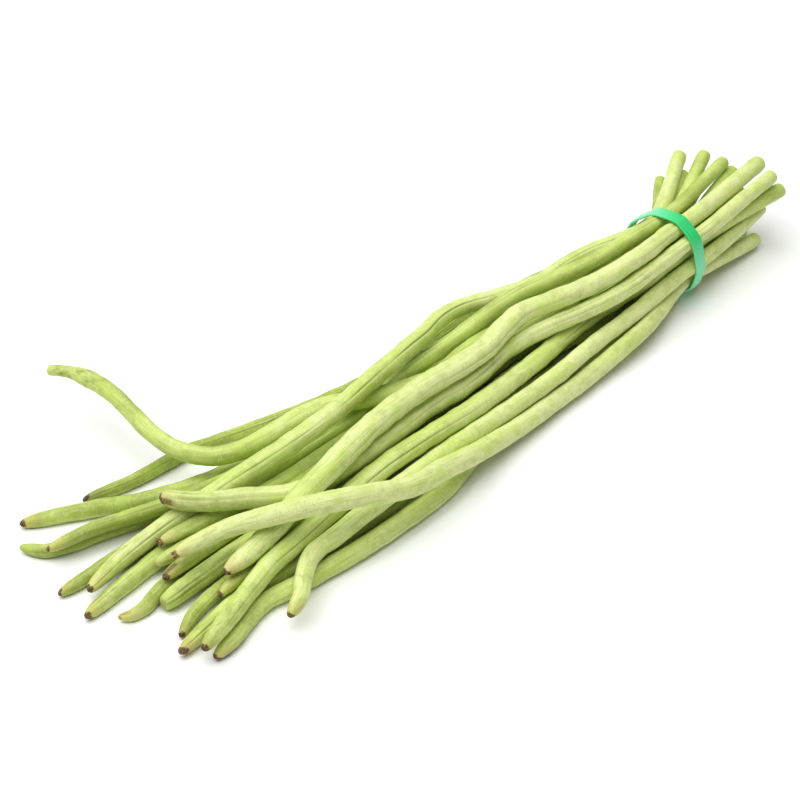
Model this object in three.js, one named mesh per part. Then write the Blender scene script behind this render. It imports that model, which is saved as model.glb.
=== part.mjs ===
// A bunch of yardlong beans lying on a flat surface, held by one rubber band near the stems.
// Millimetres, +Z up, +X along the bunch towards the stem ends.
// Each bean is one tapered, curved rod. The routes below say roughly where each one lies. settle()
// then moves them apart, until they rest on each other and on the surface without touching.
import * as THREE from "three";
import { mergeVertices } from "three/addons/utils/BufferGeometryUtils.js";

// ---- Driving dimensions ----

const BEAN_SIDES = 8; // faces around a bean
// A face's distance from the centre-line, as a share of the radius.
const FACE_DEPTH = Math.cos(Math.PI / BEAN_SIDES);
const STATION_STEP = 15; // distance between two sections of a bean
const STEM_STATIONS = [0, 2.5, 9]; // sections close to the cut end, from that end
const TIP_STATIONS = [22, 11, 5, 2, 0]; // sections close to the tip, from the tip
const CLEARANCE = 0.32; // least gap between neighbours

const BAND_X = 162; // middle of the rubber band, along the bunch
const BAND_WIDTH = 7;
const BAND_THICKNESS = 1.1;
const BAND_POINTS = 40; // corners around the band
const BUNDLE_RADIUS = 18.8; // radius that the necks are gathered into
const BUNDLE_Y = -26; // centre of the gathered necks
const BUNDLE_Z = BUNDLE_RADIUS + CLEARANCE + BAND_THICKNESS;
const GATHERED = 9; // half the length over which the necks run parallel
const RING = { outer: 15.3, middle: 8.2, core: 2.6 }; // distance of each ring of necks from the centre

// Thickness along a bean: distance from the stem end or from the tip, and share of the full radius.
const STEM_TAPER = [
  [0, 0.7], [2.5, 0.75], [9, 0.75], [25, 0.77], [45, 0.79], [90, 0.82], [150, 0.88], [220, 0.97],
  [270, 1],
];
const SLENDER_NECK = [[0, 0.76], [9, 0.76], [45, 0.7], [90, 0.72], [240, 0.78], [300, 0.96], [320, 1]];
const TIP_TAPER = [[0, 0.36], [2, 0.54], [5, 0.66], [11, 0.78], [22, 0.86], [45, 0.94], [80, 1]];
const BLUNT_TIP = [[0, 0.5], [2, 0.7], [5, 0.84], [11, 0.93], [22, 0.98], [45, 1]];
const SLENDER_TIP = [[0, 0.5], [2, 0.55], [11, 0.6], [22, 0.84], [60, 0.84], [110, 0.95], [130, 1]];

// Colours, from the palest bean to the deepest, and the band's green.
const BEAN_COLOURS = [0xd3dfa0, 0xbfd08a, 0xa9bf77, 0x9bb36e];
const BAND_COLOUR = 0x35cf86;

// ---- The beans ----
// ring and angle: the neck's place inside the band. 0 degrees is the -Y side and 90 the top.
// girth: full diameter. stem: the cut end. route: points from the band end of the tail to its tip.
// tip and neck: other tapers, for an end that isn't the usual one.
const BEANS = [
  // The beans on top, from the -Y side of the bunch to the far side.
  {
    ring: RING.outer, angle: -36, girth: 9.2, stem: [215.5, -37.5, 7],
    route: [
      [117, -44, 11], [83, -43, 7], [48, -42, 6], [17, -43, 8], [-7, -45, 13], [-29, -46, 18],
      [-50, -47, 22], [-67, -42, 26], [-83, -35, 28], [-98, -26, 27], [-109, -16, 23],
      [-120, -7, 20], [-132, -1, 17], [-139, 2, 16],
    ],
  },
  {
    ring: RING.outer, angle: 0, girth: 8.6, stem: [223, -36, 19],
    route: [
      [121, -41, 16], [93, -39, 14], [60, -39, 13], [24, -36, 12], [-12, -33, 11], [-43, -32, 10],
      [-69, -31, 8], [-84, -30, 6], [-96, -30, 5], [-108, -36, 4], [-117, -43, 4], [-128, -47, 3],
    ],
  },
  {
    ring: RING.outer, angle: 36, girth: 9.4, stem: [230, -37, 30], tip: BLUNT_TIP,
    route: [
      [136, -37, 28], [110, -34, 26], [86, -27, 24], [68, -21, 23], [48, -17, 22], [23, -18, 21],
      [6, -15, 20], [-17, -14, 19], [-44, -14, 18], [-62, -13, 18], [-75, -11, 18], [-85, -6, 18],
      [-93, 0, 19], [-103, 8, 19], [-111, 18, 18], [-116, 32, 16],
    ],
  },
  {
    ring: RING.outer, angle: 72, girth: 10.8, stem: [233, -27, 34],
    route: [
      [131, -32, 36], [107, -28, 34], [85, -22, 33], [64, -15, 32], [33, -18, 30], [8, -16, 30],
      [-13, -14, 29], [-33, -14, 28], [-60, -18, 28], [-76, -19, 26], [-93, -20, 22],
      [-108, -21, 18], [-116, -21, 15], [-124, -21, 14], [-132, -20, 13],
    ],
  },
  {
    ring: RING.middle, angle: 118, girth: 8.8, stem: [218.5, -8.5, 39], tip: SLENDER_TIP,
    route: [
      [110, -18, 20], [67, -13, 15], [31, -5, 12], [0, 4, 12], [-31, 20, 12], [-60, 25, 11],
      [-77, 30, 12], [-87, 41, 14], [-90, 57, 17], [-87, 76, 20], [-83, 97, 22], [-84, 117, 22],
      [-89, 127, 22],
    ],
  },
  {
    ring: RING.outer, angle: 146, girth: 9.4, stem: [211, 2, 38],
    route: [
      [126, -2, 25], [104, 1, 22], [85, 6, 22], [69, 11, 23], [58, 14, 24], [45, 14, 25],
      [29, 11, 25], [12, 10, 24], [-13, 7, 23], [-41, 4, 23], [-68, 4, 22], [-91, 7, 19],
      [-104, 11, 14], [-122, 17, 9], [-143, 19, 8], [-171, 18, 7],
    ],
  },
  {
    ring: RING.middle, angle: 160, girth: 7.8, stem: [209, -3, 30], neck: SLENDER_NECK,
    route: [
      [110, -4, 19], [60, 0, 12], [10, 3, 11], [-39, 3, 11], [-72, 3, 11], [-99, 8, 11],
      [-113, 13, 10], [-132, 18, 9],
    ],
  },
  // Beans that lie on the surface, from the far side to the -Y side.
  {
    ring: RING.outer, angle: 175, girth: 7.2, stem: [204, 8, 24], neck: SLENDER_NECK,
    route: [
      [128, 10, 11], [98, 22, 6], [77, 28, 4], [48, 28, 4], [21, 29, 4], [-22, 39, 4],
      [-41, 45, 4], [-62, 52, 4], [-82, 58, 4], [-101, 60, 4], [-127, 69, 3],
    ],
  },
  {
    ring: RING.outer, angle: 205, girth: 8, stem: [212, -2, 7], neck: SLENDER_NECK,
    route: [
      [133, 2, 12], [101, 12, 7], [62, 17, 4], [37, 19, 4], [7, 23, 4], [-24, 26, 4],
      [-47, 28, 4], [-68, 32, 4], [-86, 36, 4], [-109, 46, 4], [-130, 61, 4], [-155, 78, 3],
    ],
  },
  {
    ring: RING.outer, angle: 234, girth: 7.4, stem: [219, -12, 4], neck: SLENDER_NECK,
    route: [
      [110, -6, 4], [60, -3, 4], [10, 6, 4], [-51, 18, 4], [-73, 22, 4], [-89, 25, 4],
      [-115, 34, 4], [-140, 45, 4], [-160, 54, 3], [-166, 66, 3],
    ],
  },
  {
    ring: RING.outer, angle: 263, girth: 8, stem: [212, -21, 3.5], neck: SLENDER_NECK,
    route: [
      [110, -14, 4], [60, -12, 4], [10, -3, 4], [-50, 9, 4], [-75, 16, 4], [-100, 27, 4], [-115, 31, 4],
      [-136, 32, 4], [-152, 33, 4], [-175, 35, 3],
    ],
  },
  {
    ring: RING.middle, angle: 290, girth: 7.8, stem: [222, -30, 4], neck: SLENDER_NECK,
    route: [
      [110, -23, 4], [60, -24, 4], [10, -26, 4], [-50, -26, 4], [-90, -18, 4], [-116, -12, 4],
      [-133, -12, 4], [-147, -14, 4], [-161, -19, 3],
    ],
  },
  {
    ring: RING.outer, angle: 293, girth: 8.6, stem: [207, -35, 4],
    route: [
      [92, -37, 5], [56, -37, 4], [26, -37, 4], [1, -39, 4], [-22, -44, 4], [-58, -44, 4],
      [-92, -40, 4], [-114, -36, 4], [-131, -33, 4], [-148, -38, 4], [-162, -39, 3],
    ],
  },
  // Beans in the middle of the bunch.
  {
    ring: RING.middle, angle: 30, girth: 9.8, stem: [233, -42, 25],
    route: [
      [134, -31, 20], [111, -25, 16], [83, -25, 16], [60, -28, 17], [34, -29, 17], [7, -28, 16],
      [-17, -26, 16], [-44, -23, 14], [-68, -24, 12], [-93, -24, 9], [-116, -24, 6],
      [-129, -27, 5], [-143, -31, 5], [-164, -36, 4],
    ],
  },
  {
    ring: RING.outer, angle: 108, girth: 8.8, stem: [220, -16, 36],
    route: [
      [130, -19, 34], [112, -16, 33], [96, -11, 32], [83, -6, 31], [65, -3, 29], [41, 0, 25],
      [18, 6, 20], [4, 9, 16], [-15, 10, 13], [-40, 12, 11], [-65, 12, 12], [-91, 12, 11],
      [-108, 13, 8], [-123, 14, 5], [-148, 14, 4], [-179, 14, 3],
    ],
  },
  {
    ring: RING.middle, angle: 70, girth: 10, stem: [224.5, -20.5, 31.5], tip: BLUNT_TIP,
    neck: SLENDER_NECK,
    route: [
      [110, -18, 19], [60, -7, 19], [10, -8, 17], [-30, -13, 12], [-60, -13, 11], [-88, -12, 10],
      [-109, -9, 8], [-132, -7, 7], [-155, -3, 5],
    ],
  },
  {
    ring: RING.middle, angle: 205, girth: 7.4, stem: [214, -8, 22], neck: SLENDER_NECK,
    route: [
      [110, -6, 11], [60, 5, 4], [10, 12, 8], [-54, 19, 10], [-74, 22, 10], [-91, 25, 10],
      [-117, 34, 10], [-141, 45, 10], [-164, 52, 9],
    ],
  },
  {
    ring: RING.middle, angle: 250, girth: 7.4, stem: [220, -22, 11], neck: SLENDER_NECK,
    route: [
      [110, -20, 5], [60, -20, 4], [10, -15, 4], [-50, -6, 4], [-100, 2, 4], [-130, 6, 4],
      [-148, 3, 4], [-162, 1, 3], [-169, 5, 3],
    ],
  },
  {
    ring: RING.core, angle: 300, girth: 8.6, stem: [212, -30, 8], neck: SLENDER_NECK,
    route: [
      [110, -29, 4], [60, -31, 4], [10, -34, 4], [-50, -34, 4], [-100, -26, 4], [-126, -21, 4],
      [-145, -22, 4], [-169, -25, 4],
    ],
  },
  {
    ring: RING.middle, angle: 340, girth: 8, stem: [210, -38, 13], neck: SLENDER_NECK,
    route: [
      [110, -22, 11], [60, -12, 10], [10, -8, 6], [-43, 1, 4], [-77, 3, 4], [-100, 7, 6],
      [-124, 11, 8], [-140, 15, 7],
    ],
  },
  {
    ring: RING.core, angle: 60, girth: 7.8, stem: [222, -26, 24], neck: SLENDER_NECK,
    route: [
      [110, -14, 12], [60, -3, 12], [10, -4, 11], [-50, -5, 11], [-90, -5, 11], [-118, -1, 10],
      [-135, 1, 8], [-146, 2, 7],
    ],
  },
  {
    ring: RING.core, angle: 180, girth: 7.6, stem: [218, -25, 17], neck: SLENDER_NECK,
    route: [
      [110, -28, 9], [60, -22, 7], [10, -22, 4], [-50, -17, 4], [-80, -18, 7], [-99, -19, 8],
      [-116, -22, 8], [-139, -24, 6],
    ],
  },
];

// ---- One bean ----

// The value at a distance, between the rows of a taper.
function taperAt(taper, distance) {
  const next = taper.findIndex(([at]) => at >= distance);
  if (next < 0) return taper[taper.length - 1][1];
  if (next === 0) return taper[0][1];
  const [[from, low], [to, high]] = [taper[next - 1], taper[next]];
  return THREE.MathUtils.lerp(low, high, (distance - from) / (to - from));
}

// A neck's place in the bundle, at a distance along X from the band.
function neckPoint(bean, offset) {
  const angle = THREE.MathUtils.degToRad(bean.angle);
  return new THREE.Vector3(
    BAND_X + offset,
    BUNDLE_Y - bean.ring * Math.cos(angle),
    BUNDLE_Z + bean.ring * Math.sin(angle),
  );
}

// The bean's sections from stem to tip: where each lies on the route, and its radius.
function layOut(bean) {
  const curve = new THREE.CatmullRomCurve3(
    [
      new THREE.Vector3(...bean.stem),
      neckPoint(bean, GATHERED),
      neckPoint(bean, -GATHERED),
      ...bean.route.map((point) => new THREE.Vector3(...point)),
    ],
    false,
    "centripetal",
  );
  const length = curve.getLength();
  const first = STEM_STATIONS[STEM_STATIONS.length - 1];
  const last = length - TIP_STATIONS[0];
  const steps = Math.round((last - first) / STATION_STEP);
  const stations = [
    ...STEM_STATIONS,
    ...Array.from({ length: steps - 1 }, (_, i) => first + ((i + 1) * (last - first)) / steps),
    ...TIP_STATIONS.map((back) => length - back),
  ];
  const tipTaper = bean.tip ?? TIP_TAPER;
  const neckTaper = bean.neck ?? STEM_TAPER;
  const radii = stations.map((station) => {
    const share = Math.min(taperAt(neckTaper, station), taperAt(tipTaper, length - station));
    return (bean.girth / 2) * share;
  });
  const route = stations.map((station) => curve.getPointAt(station / length));
  return { route, radii, points: route.map((point) => point.clone()) };
}

// ---- Settling ----

const SETTLE_PASSES = 260;
const FREE_PASSES = 90; // the last passes, where the routes no longer pull
// The way a bean gives when its neighbours push it: up, and as far towards the tips and the -Y side.
const GIVE = new THREE.Vector3(-0.604, -0.507, 0.616).normalize();
const ROUTE_PULL = 0.04; // share of the way back to the route along GIVE, per pass
const SIDE_PULL = 0.16; // share of the way back to the route across GIVE, per pass
const SINK = 0.12; // how far a bean drops, per pass
const STIFFNESS = 0.3; // how strongly a bean spreads a push along itself
const CONTACT_ROUNDS = 4;
const LIST_EVERY = 8; // passes between two searches for neighbours
const LIST_MARGIN = 4; // neighbours closer than this are kept on the list
const LIFT_REACH = 45; // how far from the band its thickness still lifts the beans
const PARALLEL = 1e-9; // two segments whose spread is less than this run side by side

// Nearest points of two segments, as shares of each.
function nearestShares(a0, a1, b0, b1) {
  const along = new THREE.Vector3().subVectors(a1, a0);
  const across = new THREE.Vector3().subVectors(b1, b0);
  const between = new THREE.Vector3().subVectors(a0, b0);
  const a = along.dot(along);
  const b = along.dot(across);
  const c = across.dot(across);
  const d = along.dot(between);
  const e = across.dot(between);
  const clamp = (value) => THREE.MathUtils.clamp(value, 0, 1);
  const spread = a * c - b * b;
  let s = spread > PARALLEL ? clamp((b * e - c * d) / spread) : 0.5;
  const t = clamp((b * s + e) / c);
  s = clamp((b * t - d) / a);
  return [s, t];
}

// Every pair of segments, of two beans, that lie close to each other.
function listNeighbours(beans) {
  const segments = beans.flatMap((bean, owner) =>
    bean.points.slice(1).map((end, i) => {
      const start = bean.points[i];
      const middle = new THREE.Vector3().addVectors(start, end).multiplyScalar(0.5);
      const reach = start.distanceTo(end) / 2 + Math.max(bean.radii[i], bean.radii[i + 1]);
      return { bean, owner, i, middle, reach };
    }),
  );
  const pairs = [];
  segments.forEach((one, index) => {
    for (const other of segments.slice(index + 1)) {
      if (other.owner === one.owner) continue;
      const limit = one.reach + other.reach + LIST_MARGIN;
      if (one.middle.distanceToSquared(other.middle) < limit * limit) pairs.push([one, other]);
    }
  });
  return pairs;
}

// Moves the ends of a segment so that the point at a share of it moves by the push.
function nudge(bean, i, share, push) {
  const weight = share * share + (1 - share) * (1 - share);
  bean.points[i].addScaledVector(push, (1 - share) / weight);
  bean.points[i + 1].addScaledVector(push, share / weight);
}

// Moves apart the segments that are closer than the clearance.
function separate(pairs) {
  for (const [one, other] of pairs) {
    const { bean: a, i } = one;
    const { bean: b, i: j } = other;
    const [s, t] = nearestShares(a.points[i], a.points[i + 1], b.points[j], b.points[j + 1]);
    const away = new THREE.Vector3().lerpVectors(a.points[i], a.points[i + 1], s);
    away.sub(new THREE.Vector3().lerpVectors(b.points[j], b.points[j + 1], t));
    const gap =
      away.length() -
      THREE.MathUtils.lerp(a.radii[i], a.radii[i + 1], s) -
      THREE.MathUtils.lerp(b.radii[j], b.radii[j + 1], t);
    if (gap >= CLEARANCE) continue;
    away.setLength((CLEARANCE - gap) / 2);
    nudge(a, i, s, away);
    nudge(b, j, t, away.negate());
  }
}

// How far the band holds the beans off the surface.
function bandLift(x) {
  const share = THREE.MathUtils.smoothstep(Math.abs(x - BAND_X), BAND_WIDTH, LIFT_REACH);
  return (BAND_THICKNESS + CLEARANCE) * (1 - share);
}

// Keeps a bean on the surface, and its neck inside the band.
function confine(bean) {
  bean.points.forEach((point, i) => {
    const radius = bean.radii[i];
    if (Math.abs(point.x - BAND_X) < GATHERED) {
      const y = point.y - BUNDLE_Y;
      const z = point.z - BUNDLE_Z;
      const ratio = (BUNDLE_RADIUS - radius) / Math.hypot(y, z);
      if (ratio < 1) {
        point.y = BUNDLE_Y + y * ratio;
        point.z = BUNDLE_Z + z * ratio;
      }
    }
    point.z = Math.max(point.z, radius * FACE_DEPTH + bandLift(point.x));
  });
}

// Spreads each point's move from its route over its neighbours, as a stiff bean would.
function straighten(bean) {
  const moves = bean.points.map((point, i) => new THREE.Vector3().subVectors(point, bean.route[i]));
  bean.points.forEach((point, i) => {
    const before = moves[Math.max(i - 1, 0)];
    const after = moves[Math.min(i + 1, moves.length - 1)];
    const bend = new THREE.Vector3().addVectors(before, after).multiplyScalar(0.5).sub(moves[i]);
    point.addScaledVector(bend, STIFFNESS);
  });
}

function settle(beans) {
  let pairs = [];
  for (let pass = 0; pass < SETTLE_PASSES; pass++) {
    const left = SETTLE_PASSES - FREE_PASSES - pass;
    const hold = THREE.MathUtils.clamp(left / FREE_PASSES, 0, 1);
    if (pass % LIST_EVERY === 0) pairs = listNeighbours(beans);
    for (const bean of beans) {
      bean.points.forEach((point, i) => {
        const back = new THREE.Vector3().subVectors(bean.route[i], point);
        point.addScaledVector(back, SIDE_PULL * hold);
        const giving = (ROUTE_PULL - SIDE_PULL) * back.dot(GIVE) - SINK;
        point.addScaledVector(GIVE, giving * hold);
      });
      if (pass < SETTLE_PASSES - LIST_EVERY) straighten(bean);
    }
    for (let round = 0; round < CONTACT_ROUNDS; round++) {
      separate(pairs);
      beans.forEach(confine);
    }
  }
}

// ---- Shapes ----

const MERGE_WITHIN = 1e-4; // vertices closer than this are one
const UNDER_BAND = [-1, -0.5, 0, 0.5, 1]; // sections under and beside the band, in band widths

// A straight bean turned around Y, whose sections are then carried to their places.
function beanGeometry({ points, radii }) {
  const last = points.length - 1;
  const profile = [
    new THREE.Vector2(0, 0),
    ...radii.map((radius, i) => new THREE.Vector2(radius, i)),
    new THREE.Vector2(0, last),
  ];
  const halfFace = Math.PI / BEAN_SIDES;
  const geometry = new THREE.LatheGeometry(profile, BEAN_SIDES, halfFace);
  const position = geometry.attributes.position;
  const frames = points.map((point, i) => {
    const after = points[Math.min(i + 1, last)];
    const before = points[Math.max(i - 1, 0)];
    const tangent = new THREE.Vector3().subVectors(after, before).normalize();
    const side = new THREE.Vector3().crossVectors(tangent, new THREE.Vector3(0, 0, 1)).normalize();
    return { point, side, up: new THREE.Vector3().crossVectors(side, tangent) };
  });
  const place = new THREE.Vector3();
  for (let v = 0; v < position.count; v++) {
    const { point, side, up } = frames[Math.round(position.getY(v))];
    place.copy(point).addScaledVector(side, position.getX(v)).addScaledVector(up, position.getZ(v));
    position.setXYZ(v, place.x, place.y, place.z);
  }
  return closed(geometry);
}

// Presses what would reach below the surface flat against it, and shares the vertices.
function closed(geometry) {
  const position = geometry.attributes.position;
  for (let v = 0; v < position.count; v++) position.setZ(v, Math.max(position.getZ(v), 0));
  geometry.deleteAttribute("normal");
  geometry.deleteAttribute("uv");
  const merged = mergeVertices(geometry, MERGE_WITHIN);
  merged.computeVertexNormals();
  return merged;
}

// The distance from the bundle's centre to the band pulled tight over the necks, at an angle.
function tightRadius(necks, angle) {
  let tightest = Infinity;
  for (let k = 1; k < BAND_POINTS; k++) {
    const lean = (k / BAND_POINTS - 0.5) * Math.PI;
    const facing = angle + lean;
    const reaches = necks.map(
      ({ y, z, radius }) => y * Math.cos(facing) + z * Math.sin(facing) + radius,
    );
    tightest = Math.min(tightest, Math.max(...reaches) / Math.cos(lean));
  }
  return tightest + CLEARANCE;
}

// The sections of every bean under the band and just beside it, around the bundle's centre.
function gatheredNecks(beans) {
  return beans.flatMap(({ points, radii }) =>
    points.slice(1).flatMap((end, i) => {
      const start = points[i];
      return UNDER_BAND.flatMap((widths) => {
        const share = (BAND_X + widths * BAND_WIDTH - start.x) / (end.x - start.x);
        if (!(share >= 0 && share <= 1)) return [];
        const place = new THREE.Vector3().lerpVectors(start, end, share);
        const radius = THREE.MathUtils.lerp(radii[i], radii[i + 1], share);
        return [{ y: place.y - BUNDLE_Y, z: place.z - BUNDLE_Z, radius }];
      });
    }),
  );
}

// A closed flat strip pulled round the necks, lying across X.
function bandGeometry(beans) {
  const necks = gatheredNecks(beans);
  const loop = (thickness) =>
    Array.from({ length: BAND_POINTS }, (_, k) => {
      const angle = (k / BAND_POINTS) * 2 * Math.PI;
      const radius = tightRadius(necks, angle) + thickness;
      return new THREE.Vector2(radius * Math.cos(angle), radius * Math.sin(angle));
    });
  const strip = new THREE.Shape(loop(BAND_THICKNESS));
  strip.holes.push(new THREE.Path(loop(0)));
  const geometry = new THREE.ExtrudeGeometry(strip, { depth: BAND_WIDTH, bevelEnabled: false });
  // The strip is drawn flat and extruded along Z: its X becomes Y, its Y becomes Z, its Z becomes X.
  const acrossBunch = new THREE.Matrix4().makeBasis(
    new THREE.Vector3(0, 1, 0),
    new THREE.Vector3(0, 0, 1),
    new THREE.Vector3(1, 0, 0),
  );
  geometry.applyMatrix4(acrossBunch);
  geometry.translate(BAND_X - BAND_WIDTH / 2, BUNDLE_Y, BUNDLE_Z);
  return closed(geometry);
}

function named(name, geometry, material) {
  const mesh = new THREE.Mesh(geometry, material);
  mesh.name = name;
  return mesh;
}

// ---- The bunch ----

const beans = BEANS.map(layOut);
settle(beans);

const skins = BEAN_COLOURS.map(
  (color) => new THREE.MeshStandardMaterial({ color, roughness: 0.5, metalness: 0 }),
);
const rubber = new THREE.MeshStandardMaterial({
  color: BAND_COLOUR,
  roughness: 0.45,
  metalness: 0,
});

const bunch = new THREE.Group();
beans.forEach((bean, i) => {
  const number = String(i + 1).padStart(2, "0");
  bunch.add(named(`bean_${number}`, beanGeometry(bean), skins[i % skins.length]));
});
bunch.add(named("rubber_band", bandGeometry(beans), rubber));

// The origin is below the middle of the bunch, on the surface that it lies on.
const box = new THREE.Box3().setFromObject(bunch);
bunch.position.set(-(box.min.x + box.max.x) / 2, -(box.min.y + box.max.y) / 2, 0);

const part = new THREE.Group();
part.add(bunch);

export default part;
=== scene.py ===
"""The looks of a bunch of yardlong beans: a fine skin for every bean, and the rubber band round their necks.

Units are metres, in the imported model's frame: +X runs along the bunch to the cut stem ends, and +Z is up.
Each bean's centre-line and girth are read from its solid, and a Geometry Nodes tree sweeps the skin along it.
"""

from __future__ import annotations

import logging
import math
import random
from collections.abc import Mapping, Sequence
from dataclasses import dataclass, field
from enum import Enum
from functools import partialmethod

import bmesh
import bpy
import numpy as np
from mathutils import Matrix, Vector


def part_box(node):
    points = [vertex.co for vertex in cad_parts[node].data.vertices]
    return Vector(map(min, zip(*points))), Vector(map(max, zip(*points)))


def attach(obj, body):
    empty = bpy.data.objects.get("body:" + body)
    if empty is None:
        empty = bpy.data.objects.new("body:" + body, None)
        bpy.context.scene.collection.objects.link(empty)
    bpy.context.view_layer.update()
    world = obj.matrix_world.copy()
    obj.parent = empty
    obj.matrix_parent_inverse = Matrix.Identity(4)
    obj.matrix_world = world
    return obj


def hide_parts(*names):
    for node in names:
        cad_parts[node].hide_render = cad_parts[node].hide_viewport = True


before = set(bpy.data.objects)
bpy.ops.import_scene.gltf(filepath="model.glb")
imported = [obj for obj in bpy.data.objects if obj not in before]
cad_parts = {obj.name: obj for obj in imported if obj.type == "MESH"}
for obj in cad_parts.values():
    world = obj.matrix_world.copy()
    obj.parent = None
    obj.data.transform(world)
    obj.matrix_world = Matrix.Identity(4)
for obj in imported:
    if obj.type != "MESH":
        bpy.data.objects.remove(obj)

LOG = logging.getLogger("bean_bunch")
MM = 0.001
TAU = 2 * math.pi
BODY = "root"

Colour = tuple[float, float, float, float]
Rings = list[list[Vector]]


def paint(code: str) -> Colour:
    """Turns a written colour into the values that a shader takes.

    Args:
        code: The colour, as "#rrggbb".

    Returns:
        Its linear red, green and blue, and full opacity.
    """
    shares = [int(code[i : i + 2], 16) / 255 for i in (1, 3, 5)]
    linear = [c / 12.92 if c <= 0.04045 else ((c + 0.055) / 1.055) ** 2.4 for c in shares]
    return (*linear, 1.0)


def add_object(name: str, data: bpy.types.ID) -> bpy.types.Object:
    """Puts a mesh, a light or a camera in the scene.

    Args:
        name: The new object's name.
        data: The mesh, light or camera.

    Returns:
        The object, at the origin.
    """
    made = bpy.data.objects.new(name, data)
    bpy.context.scene.collection.objects.link(made)
    return made


def read(items: bpy.types.bpy_prop_collection, name: str, kind: type, size: int = 1) -> np.ndarray:
    """Reads the same property of every item.

    Args:
        items: The items, such as a mesh's vertices.
        name: The property.
        kind: The type of its numbers.
        size: How many numbers it holds.

    Returns:
        The numbers, in one row.
    """
    numbers = np.empty(len(items) * size, kind)
    items.foreach_get(name, numbers)
    return numbers


# ---- Node trees ----


class Value:
    """One output of a node, which Python's operators turn into Math nodes."""

    def __init__(self, graph: Graph, socket: bpy.types.NodeSocket) -> None:
        """Wraps a socket of the graph's tree."""
        self.graph = graph
        self.socket = socket

    def __getitem__(self, name: str) -> Value:
        """Gives another output of the same node."""
        return Value(self.graph, self.graph.find(self.socket.node.outputs, name))

    def _maths(self, operation: str, *others: Value | float) -> Value:
        """Adds a Math node on this value and any others."""
        return self.graph.node("ShaderNodeMath", {"operation": operation}, dict(enumerate((self, *others))))

    __add__ = __radd__ = partialmethod(_maths, "ADD")
    __sub__ = partialmethod(_maths, "SUBTRACT")
    __mul__ = __rmul__ = partialmethod(_maths, "MULTIPLY")
    __truediv__ = partialmethod(_maths, "DIVIDE")
    __pow__ = partialmethod(_maths, "POWER")
    __abs__ = partialmethod(_maths, "ABSOLUTE")
    sin = partialmethod(_maths, "SINE")
    cos = partialmethod(_maths, "COSINE")
    exp = partialmethod(_maths, "EXPONENT")
    at_least = partialmethod(_maths, "MAXIMUM")

    def __rsub__(self, other: float) -> Value:
        """Subtracts this value from a number."""
        return self * -1.0 + other

    def above(self, floor: float) -> Value:
        """Rises from a floor, where this value is 0, to 1, where it is 1."""
        return floor + self * (1 - floor)

    def bell(self, middle: float, width: float) -> Value:
        """Gives a smooth bump, 1 at the middle and nearly 0 two widths away."""
        away = (self - middle) / width
        return (away * away * -1.0).exp()

    def ramp(self, low: float, high: float, start: float = 0.0, end: float = 1.0) -> Value:
        """Rises or falls smoothly from start, at low, to end, at high, and stays level outside."""
        sockets = {"Value": self, "From Min": low, "From Max": high, "To Min": start, "To Max": end}
        return self.graph.node("ShaderNodeMapRange", {"interpolation_type": "SMOOTHSTEP"}, sockets)


Feed = Value | float | str | bool | Sequence[float]


class Graph:
    """Builds one node tree."""

    def __init__(self, tree: bpy.types.NodeTree) -> None:
        """Starts from an empty tree."""
        tree.nodes.clear()
        self.tree = tree

    @staticmethod
    def find(sockets: bpy.types.bpy_prop_collection, key: str | int) -> bpy.types.NodeSocket:
        """Finds a socket by its identifier, its name or its place."""
        return next((s for s in sockets if s.identifier == key), None) or sockets[key]

    def node(
        self,
        kind: str,
        settings: Mapping[str, object] | None = None,
        sockets: Mapping[str | int, Feed] | None = None,
    ) -> Value:
        """Adds a node.

        Args:
            kind: The node's type.
            settings: The node's own settings, which are set first.
            sockets: A value or a link for each input, by name, identifier or place.

        Returns:
            The node's first output.
        """
        made = self.tree.nodes.new(kind)
        for name, setting in (settings or {}).items():
            setattr(made, name, setting)
        for key, value in (sockets or {}).items():
            socket = self.find(made.inputs, key)
            if isinstance(value, Value):
                self.tree.links.new(value.socket, socket)
            else:
                socket.default_value = value
        return Value(self, made.outputs[0]) if len(made.outputs) else Value(self, made.inputs[0])

    def noise(self, place: Value, scale: float, detail: float = 2.0) -> Value:
        """Adds a noise of features about 1/scale across, from 0 to 1."""
        return self.node("ShaderNodeTexNoise", sockets={"Vector": place, "Scale": scale, "Detail": detail})

    def point(self, x: Feed, y: Feed, z: Feed) -> Value:
        """Joins three numbers into a vector."""
        return self.node("ShaderNodeCombineXYZ", sockets={0: x, 1: y, 2: z})

    def vector(self, operation: str, one: Feed, other: Feed) -> Value:
        """Adds a Vector Math node."""
        return self.node("ShaderNodeVectorMath", {"operation": operation}, {0: one, 1: other})

    def scaled(self, vector: Value, scale: Feed) -> Value:
        """Multiplies a vector by a number."""
        return self.node("ShaderNodeVectorMath", {"operation": "SCALE"}, {0: vector, "Scale": scale})

    def blend(self, share: Feed, low: Feed, high: Feed) -> Value:
        """Mixes two colours."""
        sockets = {"Factor_Float": share, "A_Color": low, "B_Color": high}
        return self.node("ShaderNodeMix", {"data_type": "RGBA"}, sockets)["Result_Color"]

    def attribute(self, name: str, output: str = "Fac") -> Value:
        """Reads a value that a Geometry Nodes tree left on the mesh."""
        return self.node("ShaderNodeAttribute", {"attribute_name": name})[output]

    def bump(self, height: Value, strength: float, distance: float) -> Value:
        """Turns a height into a normal."""
        sockets = {"Strength": strength, "Distance": distance, "Height": height}
        return self.node("ShaderNodeBump", sockets=sockets)

    def end_surface(self, sockets: Mapping[str, Feed]) -> None:
        """Adds a surface shader with these values and links, and ends the tree."""
        shader = self.node("ShaderNodeBsdfPrincipled", sockets=sockets)
        self.node("ShaderNodeOutputMaterial", sockets={"Surface": shader})


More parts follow.
